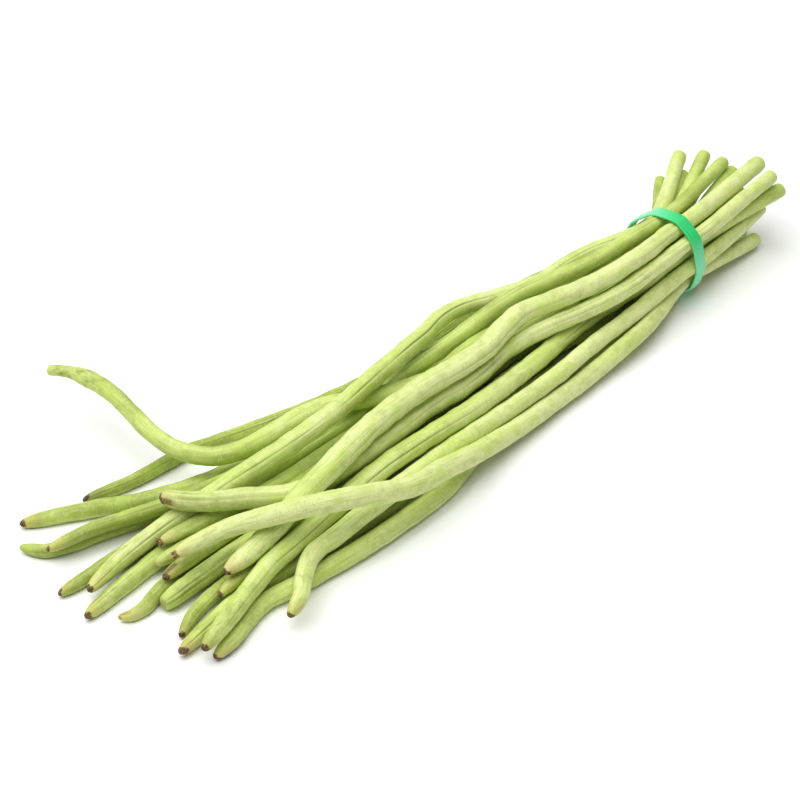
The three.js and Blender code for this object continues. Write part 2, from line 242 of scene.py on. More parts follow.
def new_material(name: str) -> tuple[bpy.types.Material, Graph]:
    """Makes a material.

    Args:
        name: The material's name.

    Returns:
        The material, and the graph of its empty tree.
    """
    made = bpy.data.materials.new(name)
    made.use_nodes = True
    return made, Graph(made.node_tree)


class GeometryGraph(Graph):
    """Builds a Geometry Nodes tree with named inputs."""

    def __init__(self, name: str, counts: Sequence[str], measures: Sequence[str]) -> None:
        """Makes a tree with inputs for a mesh, a material called Finish, and these.

        Args:
            name: The tree's name.
            counts: The named inputs that take a whole number.
            measures: The named inputs that take any number.
        """
        super().__init__(bpy.data.node_groups.new(name, "GeometryNodeTree"))
        inputs = {"Geometry": "Geometry", "Finish": "Material"}
        inputs |= dict.fromkeys(counts, "Int") | dict.fromkeys(measures, "Float")
        for label, kind in inputs.items():
            self.tree.interface.new_socket(name=label, in_out="INPUT", socket_type=f"NodeSocket{kind}")
        self.tree.interface.new_socket(name="Geometry", in_out="OUTPUT", socket_type="NodeSocketGeometry")
        self.entry = self.node("NodeGroupInput")

    def stored(self, geometry: Value, name: str, value: Feed, kind: str = "FLOAT") -> Value:
        """Keeps a value on every point of a geometry, as a named attribute."""
        sockets = {"Geometry": geometry, "Name": name, "Value": value}
        return self.node("GeometryNodeStoreNamedAttribute", {"data_type": kind}, sockets)

    def named(self, name: str, kind: str = "FLOAT") -> Value:
        """Reads a named attribute."""
        return self.node("GeometryNodeInputNamedAttribute", {"data_type": kind}, {"Name": name})

    def finish(self, mesh: Value) -> None:
        """Smooths the mesh, gives it its material and ends the tree.

        Args:
            mesh: The finished mesh.
        """
        smooth = self.node("GeometryNodeSetShadeSmooth", sockets={"Geometry": mesh})
        real = self.node("GeometryNodeRealizeInstances", sockets={"Geometry": smooth})
        sockets = {"Geometry": real, "Material": self.entry["Finish"]}
        dressed = self.node("GeometryNodeSetMaterial", sockets=sockets)
        self.node("NodeGroupOutput", sockets={0: dressed})

    def grow(self, name: str, line: bpy.types.Mesh, values: Mapping[str, object]) -> bpy.types.Object:
        """Runs the tree on a line and keeps the result as a plain mesh.

        Args:
            name: The new piece's name.
            line: The mesh that the tree starts from.
            values: A value for each of the tree's named inputs.

        Returns:
            The piece, at the origin, with no modifier left on it.
        """
        piece = add_object(name, line)
        modifier = piece.modifiers.new(name, "NODES")
        modifier.node_group = self.tree
        for item in self.tree.interface.items_tree:
            if item.in_out == "INPUT" and item.name in values:
                modifier[item.identifier] = values[item.name]
        evaluated = piece.evaluated_get(bpy.context.evaluated_depsgraph_get())
        mesh = bpy.data.meshes.new_from_object(evaluated, depsgraph=bpy.context.evaluated_depsgraph_get())
        piece.modifiers.clear()
        piece.data = mesh
        mesh.name = name
        bpy.data.meshes.remove(line)
        return piece


# ---- Reading the solids ----


@dataclass(frozen=True)
class Solid:
    """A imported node's mesh, with the corners that its triangles share merged."""

    corners: np.ndarray
    triangles: np.ndarray

    MERGE_DECIMALS = 6

    @classmethod
    def of(cls, node: str) -> Solid:
        """Reads a solid.

        Args:
            node: The solid's node in the frame.

        Returns:
            Its mesh.
        """
        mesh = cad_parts[node].data
        mesh.calc_loop_triangles()
        used = read(mesh.loop_triangles, "vertices", np.int32, 3)
        places = read(mesh.vertices, "co", float, 3)
        rounded = np.round(places.reshape(-1, 3), cls.MERGE_DECIMALS)
        corners, same = np.unique(rounded, axis=0, return_inverse=True)
        return cls(corners, same.reshape(-1)[used].reshape(-1, 3))

    def neighbours(self) -> list[set[int]]:
        """Follows the edges of the triangles.

        Returns:
            The corners that each corner shares an edge with.
        """
        near: list[set[int]] = [set() for _ in self.corners]
        for triangle in self.triangles.tolist():
            for corner in triangle:
                near[corner].update(triangle)
        for corner, others in enumerate(near):
            others.discard(corner)
        return near


@dataclass(frozen=True)
class Spine:
    """A bean's centre-line and half-thickness, ring by ring from the cut stem end to the tip."""

    centres: np.ndarray
    radii: np.ndarray

    @classmethod
    def of(cls, node: str) -> Spine:
        """Reads a bean's rings, each one edge further from the middle of the stem's cut face.

        Args:
            node: The node of the bean's solid.

        Returns:
            The middle and the half-thickness of every ring.
        """
        solid = Solid.of(node)
        near = solid.neighbours()
        sides = max(len(others) for others in near)
        poles = [corner for corner, others in enumerate(near) if len(others) == sides]
        stem = max(poles, key=lambda corner: solid.corners[corner][0])
        seen = {stem}
        ring = near[stem]
        centres, radii = [], []
        while len(ring) > 1:
            places = solid.corners[sorted(ring)]
            centre = places.mean(axis=0)
            centres.append(centre)
            radii.append(np.linalg.norm(places - centre, axis=1).max())
            seen |= ring
            ring = set().union(*(near[corner] for corner in ring)) - seen
        return cls(np.array(centres), np.array(radii))


def smooth_through(knots: np.ndarray, values: np.ndarray, wanted: np.ndarray) -> np.ndarray:
    """Reads a smooth curve through values at knots.

    Args:
        knots: Where the values are, rising.
        values: One row per knot.
        wanted: Where the curve is wanted.

    Returns:
        One row per wanted place.
    """
    slopes = np.gradient(values, knots, axis=0)
    before = np.clip(np.searchsorted(knots, wanted, side="right") - 1, 0, len(knots) - 2)
    span = knots[before + 1] - knots[before]
    share = (wanted - knots[before]) / span
    shape = (-1,) + (1,) * (values.ndim - 1)
    t, h = share.reshape(shape), span.reshape(shape)
    return (
        (2 * t**3 - 3 * t**2 + 1) * values[before]
        + (t**3 - 2 * t**2 + t) * h * slopes[before]
        + (3 * t**2 - 2 * t**3) * values[before + 1]
        + (t**3 - t**2) * h * slopes[before + 1]
    )


# ---- Finishes ----


@dataclass(frozen=True)
class TipFinish:
    """How the last few centimetres of a bean are coloured.

    The cap is the dried end, and the halo is the yellowing behind it. Where lean is above 0 both reach
    further back a quarter turn past the seam, and where it is below 0 on the opposite side. A stain is a
    brown line back from the cap, at stain_side degrees from the seam. Scuffs are olive marks.
    """

    cap: str
    cap_reach: float
    halo: str
    halo_reach: float
    lean: float = 0.0
    stain_reach: float = 0.0
    stain_side: float = -50.0
    scuffs: float = 0.35


class Tip(Enum):
    """The kinds of tip in the bunch."""

    DARK = TipFinish("#38281c", 2.0 * MM, "#aaa851", 10 * MM)
    POINTED = TipFinish("#43302a", 3.6 * MM, "#8f8d4a", 14 * MM, lean=0.4)
    ROUND = TipFinish("#4c3523", 2.1 * MM, "#c3bd62", 12 * MM, lean=-0.4)
    RIM = TipFinish("#54463a", 1.7 * MM, "#bfba60", 11 * MM, lean=0.7)
    SPOT = TipFinish("#3f2c1e", 1.7 * MM, "#cfca70", 15 * MM, lean=0.4)
    BLOB = TipFinish("#5c3c35", 3.2 * MM, "#c6b668", 12 * MM, lean=-0.5)
    PALE = TipFinish("#b09a4a", 1.2 * MM, "#dad884", 19 * MM, stain_reach=6 * MM)
    GREEN = TipFinish("#a9b768", 0.8 * MM, "#b5c961", 9 * MM)
    STAINED = TipFinish("#422a22", 1.9 * MM, "#c9bd72", 12 * MM, lean=-0.5, stain_reach=9 * MM)
    TORN = TipFinish("#9c7650", 1.8 * MM, "#d8d284", 13 * MM)
    CUT = TipFinish("#dcc6b0", 0.6 * MM, "#c9d07c", 8 * MM, scuffs=0.75)


@dataclass(frozen=True)
class Layer:
    """A colour laid over the skin, up to its share, as a pattern passes from low to high."""

    pattern: str
    low: float
    high: float
    share: float
    colour: str
    mask: str = ""


@dataclass(frozen=True)
class PodFinish:
    """The skin of a bean: pale green, with fibres along it, fine wrinkles across it, painted shade in its
    valleys and seams, and a dried tip.

    Each pattern is a noise, given as its features a metre across and along the bean, and its roughness.
    """

    tip: Tip
    pale: str = "#e2eaa2"
    mid: str = "#cbdc7a"
    deep: str = "#8ea138"
    lime: str = "#bbd652"
    # The dark green of the painted shade in the valleys and seams.
    painted_shade_green: str = "#525e1c"
    bloom: str = "#e7e6ae"
    stem_end: str = "#bcd66a"
    cut_face: str = "#e2e9b9"
    speck: str = "#5b6a2c"
    fleck: str = "#93714a"
    scuff: str = "#6f6e2c"

    PATTERNS = {
        "patches": ((90, 90, 24), 3.0),
        "fibres": ((1300, 1300, 70), 3.0),
        "wrinkles": ((480, 480, 1700), 2.0),
        "wear": ((130, 130, 130), 2.0),
        "grain": ((2200, 2200, 2200), 2.0),
        "mottle": ((560, 560, 420), 3.0),
        "blotches": ((170, 170, 120), 3.0),
        "speckling": ((31, 31, 31), 2.0),
        "scuffs": ((330, 330, 190), 4.0),
        "tatters": ((620, 620, 620), 2.0),
        "flecks": ((1100, 1100, 1100), 2.0),
    }
    LAYERS = (
        Layer("fibres", 0.5, 0.7, 0.36, "deep", "stringy"),
        Layer("fibres", 0.5, 0.32, 0.28, "pale", "stringy"),
        Layer("mottle", 0.5, 0.75, 0.26, "bloom"),
        Layer("blotches", 0.5, 0.7, 0.28, "deep"),
        Layer("blotches", 0.48, 0.34, 0.42, "lime"),
        Layer("wrinkles", 0.48, 0.72, 0.28, "deep", "worn"),
        Layer("wrinkles", 0.48, 0.28, 0.3, "pale", "worn"),
        Layer("grain", 0.5, 0.75, 0.25, "mid"),
        # Painted shade: the skin darkens in its valleys and seams.
        Layer("hollow", 0.15, 1.2, 0.62, "painted_shade_green"),
        Layer("specks", 0.09, 0.05, 0.8, "speck", "speckled"),
    )
    HEIGHTS = {"fibres": 0.45, "grain": 0.3, "mottle": 0.4}
    WRINKLE_HEIGHT = 0.45
    BUMP_DISTANCE = 0.12 * MM
    SEED_SHIFT = 0.37
    SPECKS_PER_METRE = 75.0
    PATCH_STRENGTH = 1.5
    STRINGY_REACH = (120 * MM, 300 * MM)
    SCUFF_REACH = (48 * MM, 14 * MM)
    TATTER_DEPTH = 3.4 * MM
    YELLOWING = 0.66
    DRYNESS = 0.94
    STAIN_EDGE = (0.86, 0.97)
    STEM_TINT_REACH = (9 * MM, 2 * MM)
    FACE_EDGE = (0.3 * MM, 0.1 * MM)
    PITH_RING = (1.9 * MM, 0.35 * MM)

    def fields(self, graph: Graph) -> dict[str, Value]:
        """Gathers what varies over the skin.

        Args:
            graph: The material's tree.

        Returns:
            The pod tree's attributes, the patterns and the masks, by name.
        """
        names = ("seed", "tone", "hollow", "from_tip", "along", "girth")
        fields = {name: graph.attribute(name) for name in names}
        fields["straight"] = graph.attribute("straight", "Vector")
        shift = graph.point(fields["seed"] * self.SEED_SHIFT, 0.0, 0.0)
        own = graph.vector("ADD", fields["straight"], shift)
        for name, (stretch, detail) in self.PATTERNS.items():
            fields[name] = graph.noise(graph.vector("MULTIPLY", own, stretch), 1.0, detail)
        sockets = {"Vector": own, "Scale": self.SPECKS_PER_METRE}
        fields["specks"] = graph.node("ShaderNodeTexVoronoi", sockets=sockets)
        fields["stringy"] = fields["along"].ramp(*self.STRINGY_REACH, 0.35)
        fields["worn"] = fields["wear"].ramp(0.4, 0.62, 0.25)
        fields["speckled"] = fields["speckling"].ramp(0.6, 0.66)
        return fields

    def skin_colour(self, graph: Graph, fields: Mapping[str, Value]) -> Value:
        """Mixes the pale, middle and deep greens, and lays every layer over them.

        Args:
            graph: The material's tree.
            fields: What varies over the skin.

        Returns:
            The colour of the skin away from its ends.
        """
        depth = (fields["tone"] + (fields["patches"] - 0.5) * self.PATCH_STRENGTH).ramp(-0.1, 1.1)
        colour = graph.blend(depth.ramp(0.0, 0.55), paint(self.pale), paint(self.mid))
        colour = graph.blend(depth.ramp(0.5, 1.0) * 0.85, colour, paint(self.deep))
        for layer in self.LAYERS:
            share = fields[layer.pattern].ramp(layer.low, layer.high)
            if layer.mask:
                share = share * fields[layer.mask]
            colour = graph.blend(share * layer.share, colour, paint(getattr(self, layer.colour)))
        return colour

    def tip_colour(self, graph: Graph, fields: Mapping[str, Value], colour: Value) -> tuple[Value, Value]:
        """Lays the scuffs, the yellowing, the dried cap and any stain over the end of the bean.

        Args:
            graph: The material's tree.
            fields: What varies over the skin.
            colour: The colour of the skin.

        Returns:
            The new colour, and how dried each point is.
        """
        finish = self.tip.value
        scuffs = fields["scuffs"].ramp(0.48, 0.67) * fields["from_tip"].ramp(*self.SCUFF_REACH)
        scuffs = scuffs * finish.scuffs * fields["grain"].ramp(0.35, 0.6, 0.4)
        colour = graph.blend(scuffs, colour, paint(self.scuff))
        parts = graph.node("ShaderNodeSeparateXYZ", sockets={0: fields["straight"]})
        ragged = fields["from_tip"] + (fields["tatters"] - 0.5) * self.TATTER_DEPTH - parts["Y"] * finish.lean
        yellowed = ragged.ramp(finish.halo_reach, finish.cap_reach) * self.YELLOWING
        colour = graph.blend(yellowed, colour, paint(finish.halo))
        dry = ragged.ramp(finish.cap_reach, finish.cap_reach * 0.6)
        if finish.stain_reach:
            side = math.radians(finish.stain_side)
            outward = parts * math.cos(side) + parts["Y"] * math.sin(side)
            line = (outward / fields["girth"]).ramp(*self.STAIN_EDGE)
            line = line * ragged.ramp(finish.stain_reach, finish.stain_reach * 0.6)
            dry = dry.at_least(line * 0.8)
        flecked = fields["flecks"].ramp(0.45, 0.65) * 0.7
        dried = graph.blend(flecked, paint(finish.cap), paint(self.fleck))
        return graph.blend(dry * self.DRYNESS, colour, dried), dry

    def stem_colour(self, graph: Graph, fields: Mapping[str, Value], colour: Value) -> Value:
        """Tints the neck near its cut, and gives the cut face its ring.

        Args:
            graph: The material's tree.
            fields: What varies over the skin.
            colour: The colour of the skin.

        Returns:
            The new colour.
        """
        along = fields["along"]
        colour = graph.blend(along.ramp(*self.STEM_TINT_REACH) * 0.5, colour, paint(self.stem_end))
        flat = graph.vector("MULTIPLY", fields["straight"], (1, 1, 0))
        from_pith = graph.node("ShaderNodeVectorMath", {"operation": "LENGTH"}, {0: flat})["Value"]
        ring = from_pith.bell(*self.PITH_RING) * 0.6
        ringed = graph.blend(ring, paint(self.cut_face), paint(self.stem_end))
        return graph.blend(along.ramp(*self.FACE_EDGE), colour, ringed)

    def material(self) -> bpy.types.Material:
        """Builds the material, which reads the attributes that the pod tree leaves on the skin.

        Returns:
            The material.
        """
        made, graph = new_material(f"pod_skin_{self.tip.name.lower()}")
        fields = self.fields(graph)
        colour, dry = self.tip_colour(graph, fields, self.skin_colour(graph, fields))
        colour = self.stem_colour(graph, fields, colour)
        rough = 0.48 + (fields["mottle"] - 0.5) * 0.25 + fields["wrinkles"] * 0.08 + dry * 0.25
        height = fields["wrinkles"] * fields["worn"] * self.WRINKLE_HEIGHT
        for name, share in self.HEIGHTS.items():
            height = height + fields[name] * share
        sockets = {
            "Base Color": colour,
            "Roughness": rough,
            "Normal": graph.bump(height, 0.5, self.BUMP_DISTANCE),
            "IOR": 1.43,
            "Subsurface Weight": 0.05,
            "Subsurface Radius": (0.7, 1.0, 0.3),
            "Subsurface Scale": 1.5 * MM,
        }
        graph.end_surface(sockets)
        return made


@dataclass(frozen=True)
class RubberFinish:
    """Smooth green rubber, with a painted sheen: paler round the sides of the bundle, where the band turns
    away from the camera.
    """

    deep: str = "#26d070"
    # The pale mint of the painted sheen.
    sheen_mint: str = "#8ae8b6"
    bloom: str = "#9be8c4"

    CLOUDS_PER_METRE = 160.0
    GRAIN_PER_METRE = 1800.0
    LINE_STRETCH = (1500, 60, 60)
    BUMP_DISTANCE = 0.08 * MM

    def material(self) -> bpy.types.Material:
        """Builds the material, which reads the attribute that the band tree leaves on the strip.

        Returns:
            The material.
        """
        made, graph = new_material("green_rubber")
        place = graph.node("ShaderNodeTexCoord")["Object"]
        clouds = graph.noise(place, self.CLOUDS_PER_METRE, 3.0)
        grain = graph.noise(place, self.GRAIN_PER_METRE)
        lines = graph.noise(graph.vector("MULTIPLY", place, self.LINE_STRETCH), 1.0)
        # Painted sheen: the rubber pales where the band turns away from the camera, broken up by clouds.
        sheened = graph.attribute("stretch") + (clouds - 0.5) * 0.4
        colour = graph.blend(sheened, paint(self.deep), paint(self.sheen_mint))
        colour = graph.blend(lines.ramp(0.55, 0.8) * 0.3, colour, paint(self.bloom))
        sockets = {
            "Base Color": colour,
            "Roughness": 0.36 + clouds * 0.16,
            "Normal": graph.bump(grain * 0.4 + lines * 0.6, 0.35, self.BUMP_DISTANCE),
            "IOR": 1.5,
            "Subsurface Weight": 0.25,
            "Subsurface Radius": (0.4, 1.0, 0.6),
            "Subsurface Scale": 1.0 * MM,
        }
        graph.end_surface(sockets)
        return made


# ---- Beans ----


@dataclass(frozen=True)
class Pod:
    """What sets one bean apart from the others.

    The seam is placed in degrees round the bean: 231 is its near upper side, 321 its far upper side and 141
    its near lower side, and a like seam runs along the opposite side. It is one line where its lips are 0,
    and otherwise two lines, that far apart. Valley, seeds, oval and seam_depth are shares of the radius.
    A knuckle is a swelling before the tip, and pinch is how much of its girth the tip loses.
    """

    tip: Tip
    tone: float = 0.4
    seam: float = 231.0
    lips: float = 0.0
    valley: float = 0.055
    seeds: float = 0.04
    oval: float = 0.04
    seam_depth: float = 0.05
    knuckle: float = 0.0
    pinch: float = 0.24


class Drift(Enum):
    """The slow changes along a bean: each one's waves a metre, and its lane in the noise."""

    TURN = (4.0, 11.0)
    VALLEY_PLACE = (9.0, 0.0)
    SEED_LOUDNESS = (12.0, 71.0)
    SEAM_SHOWN = (13.0, 17.0)
    VALLEY_SHOWN = (17.0, 31.0)
    SWAY = (26.0, 3.0)
    SEED_BEAT = (30.0, 53.0)


@dataclass
class Beans:
    """The beans, each a skin swept along its solid's centre-line.

    The rim is the reach of the rounded edge of the cut face, and the beak that of the rounded end of the
    tip. Their rings are shares of that reach, or of the face's radius.
    """

    pods: tuple[Pod, ...]
    sides: int = 40
    step: float = 1.1 * MM
    end_step: float = 0.35 * MM
    end_zone: float = 4 * MM
    face_rings: tuple[float, ...] = (0.04, 0.35, 0.65, 0.86)
    face_swell: float = 0.09 * MM
    rim: float = 0.45 * MM
    rim_rings: tuple[float, ...] = (0.2, 0.5, 0.8, 1.1)
    rim_clear: float = 1.7
    rim_rounding: float = 0.12
    beak: float = 1.5 * MM
    beak_rings: int = 9
    beak_gathering: float = 1.6
    beak_last: float = 0.02
    beak_fullness: float = 2.2
    beak_floor: float = 0.003
    pinch_reach: float = 3.4 * MM
    knuckle_place: float = 17 * MM
    knuckle_reach: float = 6 * MM
    seed_pitch: float = 13.5 * MM
    wander: float = 0.7 * MM
    gathering: float = 0.3
    bake_strips: int = 4
    bake_margin: float = 0.012
    materials: dict[Tip, bpy.types.Material] = field(default_factory=dict)

    COUNTS = ("Sides",)
    MEASURES = (
        *("Seed", "Tone", "Oval", "Valley Depth", "Seed Height", "Seed Pitch"),
        *("Wander", "Seam Turn", "Seam Depth", "Lips", "Gathering"),
    )
    BODY_REACH = (25 * MM, 80 * MM)
    SEAM_WIDTH = 0.09
    SEAM_SHADE = 15.0
    SEAM_FADE = (0.38, 0.6, 0.12)
    RIDGE_WIDTH = 0.12
    LIP_HEIGHT = 0.08
    VALLEY_ANGLES = (0.9, 2.7, 4.9)
    VALLEY_DRIFT = 2.4
    VALLEY_LANES = 7.0
    VALLEY_SHARPNESS = 26.0
    VALLEY_SHADE = 0.45
    VALLEY_AT_NECK = 0.25
    SEED_BEAT = 0.9
    SEED_END_REACH = (14 * MM, 40 * MM)
    SEED_AT_SEAM = 0.35
    NOISE_RADIUS = 4.5 * MM
    NOISE_SHIFT = 0.53
    LUMPS = (75.0, 0.2)
    LUMPS_AT_NECK = 0.3
    DENTS = (260.0, 0.075)
    CREASE_STRETCH = (110, 110, 420)
    CREASE_DEPTH = 0.022
    SWAY_REACH = (60 * MM, 120 * MM)
    SWAY_END_REACH = 12 * MM
    TURN_REACH = 1.2

    @staticmethod
    def drift(graph: GeometryGraph, kind: Drift, detail: float = 2.0, shift: float = 0.0) -> Value:
        """Adds a noise that changes only along the bean, and differs from bean to bean.

        Args:
            graph: The pod tree.
            kind: Which slow change it is.
            detail: How rough the noise is.
            shift: How far to move over from the change's own lane.

        Returns:
            The noise, from 0 to 1.
        """
        rate, lane = kind.value
        place = graph.point(graph.named("along") * rate, graph.entry["Seed"], lane + shift)
        return graph.noise(place, 1.0, detail)

    def seams(self, graph: GeometryGraph, across: Value) -> Value:
        """Gives how deep in a seam's line each point is, where the line shows."""
        lines = (across - graph.entry["Lips"]).bell(0.0, self.SEAM_WIDTH)
        return lines * self.drift(graph, Drift.SEAM_SHOWN).ramp(*self.SEAM_FADE)

    def valleys(self, graph: GeometryGraph) -> Value:
        """Draws the shallow valleys along the bean.

        Args:
            graph: The pod tree.

        Returns:
            How deep in a valley each point is.
        """
        shares = []
        for place, start in enumerate(self.VALLEY_ANGLES):
            moved = self.drift(graph, Drift.VALLEY_PLACE, shift=self.VALLEY_LANES * place) - 0.5
            away = graph.named("angle") - moved * self.VALLEY_DRIFT - start
            facing = away.cos().at_least(0.0) ** self.VALLEY_SHARPNESS
            shares.append(facing * self.drift(graph, Drift.VALLEY_SHOWN, shift=place).ramp(0.46, 0.6))
        return sum(shares[1:], start=shares[0])

    def seeds(self, graph: GeometryGraph, across: Value, body: Value) -> Value:
        """Draws the swellings over the seeds, which stand out most at the sides of the seam.

        Args:
            graph: The pod tree.
            across: How far each point is from the seam.
            body: How far past its neck each point is.

        Returns:
            How much each point stands out.
        """
        beat = self.drift(graph, Drift.SEED_BEAT) - 0.5
        beads = ((graph.named("along") / graph.entry["Seed Pitch"] + beat * self.SEED_BEAT) * TAU).cos()
        loud = self.drift(graph, Drift.SEED_LOUDNESS).ramp(0.35, 0.65)
        beads = beads * loud * body * graph.named("from_tip").ramp(*self.SEED_END_REACH)
        return beads * across.above(self.SEED_AT_SEAM)

    def unevenness(self, graph: GeometryGraph, body: Value) -> Value:
        """Draws the lumps, the dents and the creases that lie anyhow on the skin.

        Args:
            graph: The pod tree.
            body: How far past its neck each point is.

        Returns:
            How much each point stands out.
        """
        angle = graph.named("angle")
        side, rise = angle.cos() * self.NOISE_RADIUS, angle.sin() * self.NOISE_RADIUS
        spot = graph.point(side + graph.entry["Seed"] * self.NOISE_SHIFT, rise, graph.named("along"))
        lump_rate, lump_height = self.LUMPS
        dent_rate, dent_height = self.DENTS
        lumps = (graph.noise(spot, lump_rate) - 0.5) * lump_height
        dents = (graph.noise(spot, dent_rate) - 0.5) * dent_height
        creases = graph.noise(graph.vector("MULTIPLY", spot, self.CREASE_STRETCH), 1.0, 1.0)
        creases = creases.ramp(0.45, 0.7) * -self.CREASE_DEPTH
        return lumps * body.above(self.LUMPS_AT_NECK) + dents + creases

    def relief(self, graph: GeometryGraph) -> tuple[Value, Value]:
        """Builds the pod's section: how much the skin stands out, as a share of its radius.

        Args:
            graph: The pod tree.

        Returns:
            The relief, and the painted shade of each point, which deepens in the valleys and seams.
        """
        angle = graph.named("angle")
        across = abs(angle.sin())
        body = graph.named("along").ramp(*self.BODY_REACH)
        seam = self.seams(graph, across) * body * graph.entry["Seam Depth"]
        valleys = self.valleys(graph)
        depth = graph.entry["Valley Depth"] * body.above(self.VALLEY_AT_NECK)
        ridge = across.bell(0.0, self.RIDGE_WIDTH) * graph.entry["Lips"] * self.LIP_HEIGHT
        relief = (
            (angle * 2.0).cos() * graph.entry["Oval"] * body
            + ridge * body
            - seam
            - valleys * depth
            + self.seeds(graph, across, body) * graph.entry["Seed Height"]
            + self.unevenness(graph, body)
        )
        # The second value is painted shade, darkest in the seams' lines and the valleys.
        return relief, valleys * self.VALLEY_SHADE + seam * self.SEAM_SHADE

    def swayed(self, graph: GeometryGraph) -> Value:
        """Draws the bean's centre-line, swaying and slowly turning about the solid's own.

        Args:
            graph: The pod tree.

        Returns:
            The curve, with its own place kept as an attribute.
        """
        line = graph.node("GeometryNodeMeshToCurve", sockets={"Mesh": graph.entry["Geometry"]})
        free = graph.named("along").ramp(*self.SWAY_REACH)
        free = free * graph.named("from_tip").ramp(0.0, self.SWAY_END_REACH)
        sway = self.drift(graph, Drift.SWAY, detail=1.0)["Color"]
        sway = graph.vector("SUBTRACT", sway, (0.5, 0.5, 0.5))
        sway = graph.scaled(sway, graph.entry["Wander"] * free)
        line = graph.node("GeometryNodeSetPosition", sockets={"Geometry": line, "Offset": sway})
        line = graph.node("GeometryNodeSetCurveNormal", {"mode": "Z_UP"}, {"Curve": line})
        turn = (self.drift(graph, Drift.TURN, detail=1.0) - 0.5) * self.TURN_REACH
        line = graph.node("GeometryNodeSetCurveTilt", sockets={"Curve": line, "Tilt": turn})
        return graph.stored(line, "centre", graph.node("GeometryNodeInputPosition"), "FLOAT_VECTOR")

    @staticmethod
    def section(graph: GeometryGraph) -> Value:
        """Draws the ring that is swept, with its corners gathered towards the seams.

        Args:
            graph: The pod tree.

        Returns:
            The curve, with the attributes around and angle.
        """
        sockets = {"Resolution": graph.entry["Sides"], "Radius": 1.0}
        ring = graph.node("GeometryNodeCurvePrimitiveCircle", sockets=sockets)
        ring = graph.stored(ring, "around", graph.node("GeometryNodeSplineParameter"))
        angle = graph.named("around") * TAU
        ring = graph.stored(ring, "angle", angle - (angle * 2.0).sin() * graph.entry["Gathering"])
        turned = graph.named("angle") + graph.entry["Seam Turn"]
        place = graph.point(turned.cos(), turned.sin(), 0.0)
        return graph.node("GeometryNodeSetPosition", sockets={"Geometry": ring, "Position": place})

    def tree(self) -> GeometryGraph:
        """Builds the tree that sweeps a skin along a line with the attributes girth, along and from_tip.

        Returns:
            The tree.
        """
        graph = GeometryGraph("pod_skin", self.COUNTS, self.MEASURES)
        girth = graph.named("girth")
        sockets = {
            "Curve": self.swayed(graph),
            "Profile Curve": self.section(graph),
            "Scale": girth,
            "Fill Caps": True,
        }
        swept = graph.node("GeometryNodeCurveToMesh", sockets=sockets)
        angle = graph.named("angle")
        straight = graph.point(angle.cos() * girth, angle.sin() * girth, graph.named("along"))
        relief, hollow = self.relief(graph)
        centre = graph.named("centre", "FLOAT_VECTOR")
        arm = graph.vector("SUBTRACT", graph.node("GeometryNodeInputPosition"), centre)
        place = graph.vector("ADD", centre, graph.scaled(arm, relief + 1.0))
        above_surface = graph.vector("MAXIMUM", place, (-1.0, -1.0, 0.0))
        mesh = graph.stored(swept, "straight", straight, "FLOAT_VECTOR")
        # Keeps the painted shade of the valleys and seams, for the skin's colour.
        mesh = graph.stored(mesh, "hollow", hollow)
        mesh = graph.stored(mesh, "seed", graph.entry["Seed"])
        mesh = graph.stored(mesh, "tone", graph.entry["Tone"])
        sockets = {"Geometry": mesh, "Position": above_surface}
        graph.finish(graph.node("GeometryNodeSetPosition", sockets=sockets))
        return graph

    def line(self, spine: Spine, pod: Pod) -> bpy.types.Mesh:
        """Draws a bean's centre-line, with rings that close over the cut face and the tip.

        Args:
            spine: The rings of the bean's solid.
            pod: What sets the bean apart.

        Returns:
            A mesh of one open line, with the attributes that the pod tree reads.
        """
        steps = np.linalg.norm(np.diff(spine.centres, axis=0), axis=1)
        knots = np.concatenate([[0], np.cumsum(steps)])
        total = knots[-1]
        beak = np.linspace(1, self.beak_last, self.beak_rings) ** self.beak_gathering
        along = np.concatenate([
            np.array(self.rim_rings) * self.rim,
            np.arange(self.rim * self.rim_clear, self.end_zone, self.end_step),
            np.arange(self.end_zone, total - self.end_zone, self.step),
            np.arange(total - self.end_zone, total - self.beak, self.end_step),
            total - self.beak * beak,
        ])
        radii = smooth_through(knots, spine.radii, along)
        from_tip = total - along
        radii *= 1 + pod.knuckle * np.exp(-(((from_tip - self.knuckle_place) / self.knuckle_reach) ** 2))
        rim = np.clip(1 - along / self.rim, 0, 1)
        radii *= 1 - self.rim_rounding * (1 - np.sqrt(1 - rim**2))
        radii *= 1 - pod.pinch * np.exp(-((from_tip / self.pinch_reach) ** 2))
        round_off = np.clip(1 - from_tip / self.beak, 0, 1)
        radii *= np.sqrt(np.clip(1 - round_off**self.beak_fullness, self.beak_floor, 1))
        face = np.array(self.face_rings)
        along = np.concatenate([face**2 * self.face_swell, along])
        radii = np.concatenate([face * radii[0], radii])
        places = smooth_through(knots, spine.centres, along)
        unrolled = np.concatenate([[0], np.cumsum(np.hypot(np.diff(along), np.diff(radii)))])
        mesh = bpy.data.meshes.new("pod_line")
        mesh.from_pydata(places.tolist(), [(i, i + 1) for i in range(len(places) - 1)], [])
        values = {"girth": radii, "along": along, "from_tip": total - along, "unrolled": unrolled}
        for name, numbers in values.items():
            mesh.attributes.new(name, "FLOAT", "POINT").data.foreach_set("value", numbers)
        return mesh

